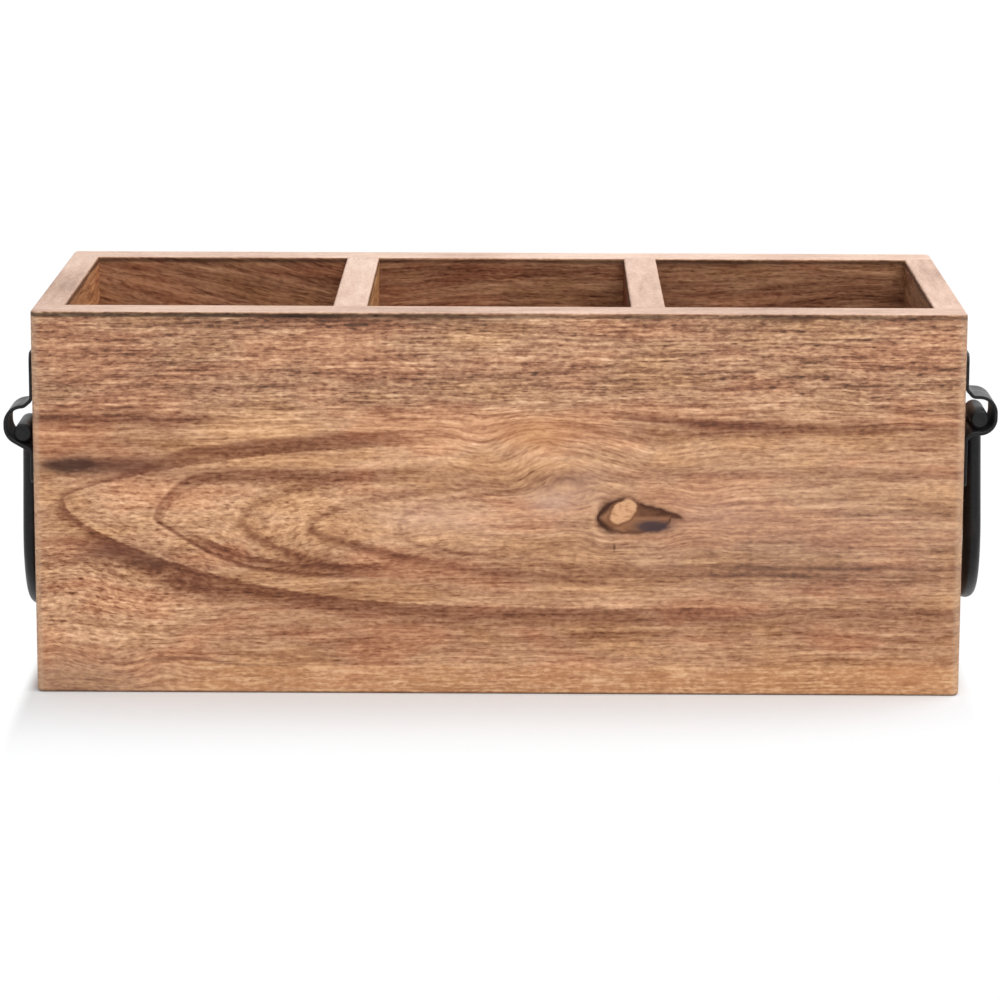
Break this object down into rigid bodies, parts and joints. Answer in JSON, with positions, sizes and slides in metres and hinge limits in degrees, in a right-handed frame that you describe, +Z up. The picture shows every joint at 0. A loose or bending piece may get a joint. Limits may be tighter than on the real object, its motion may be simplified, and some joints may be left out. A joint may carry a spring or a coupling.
{
  "type": "utensil caddy",
  "caption": "Open wooden utensil caddy: a long box divided into bays, with a swinging round-bar iron handle held by bent straps at each end.",
  "frame": {"origin": "on the surface the caddy stands on, under the middle of the wooden box", "axes": "+X along the length towards the right end, -Y out of the front board, +Z up"},
  "size_m": [0.3416, 0.144, 0.134],
  "materials": {
    "oiled_wood": "oiled tropical hardwood boards, sanded, open grained, satin",
    "dowel_wood": "plain beech dowel, unfinished",
    "bright_steel": "plain steel screws and panel pins",
    "black_iron": "bent iron, black lacquer with a low sheen",
    "black_screw": "countersunk wood screws, blackened"
  },
  "bodies": {
    "caddy": {"front_board": "oiled_wood", "back_board": "oiled_wood", "left_end_board": "oiled_wood", "right_end_board": "oiled_wood", "left_divider": "oiled_wood", "right_divider": "oiled_wood", "bottom_board": "oiled_wood", "front_left_dowels": "dowel_wood", "front_right_dowels": "dowel_wood", "back_left_dowels": "dowel_wood", "back_right_dowels": "dowel_wood", "left_divider_dowels": "dowel_wood", "right_divider_dowels": "dowel_wood", "bottom_board_pins": "bright_steel", "left_divider_screws": "bright_steel", "right_divider_screws": "bright_steel", "left_front_strap": "black_iron", "left_rear_strap": "black_iron", "right_front_strap": "black_iron", "right_rear_strap": "black_iron", "left_front_strap_screws": "black_screw", "left_rear_strap_screws": "black_screw", "right_front_strap_screws": "black_screw", "right_rear_strap_screws": "black_screw"},
    "left_handle": {"left_bail": "black_iron"},
    "right_handle": {"right_bail": "black_iron"}
  },
  "joints": [
    {"name": "left_handle_swing", "type": "hinge", "parent": "caddy", "child": "left_handle", "pos_m": [-0.16357, 0, 0.0908], "axis": [0, 1, 0], "range_deg": [-1.05, 179]},
    {"name": "right_handle_swing", "type": "hinge", "parent": "caddy", "child": "right_handle", "pos_m": [0.16517, 0, 0.097], "axis": [0, -1, 0], "range_deg": [-2.7, 181]}
  ]
}
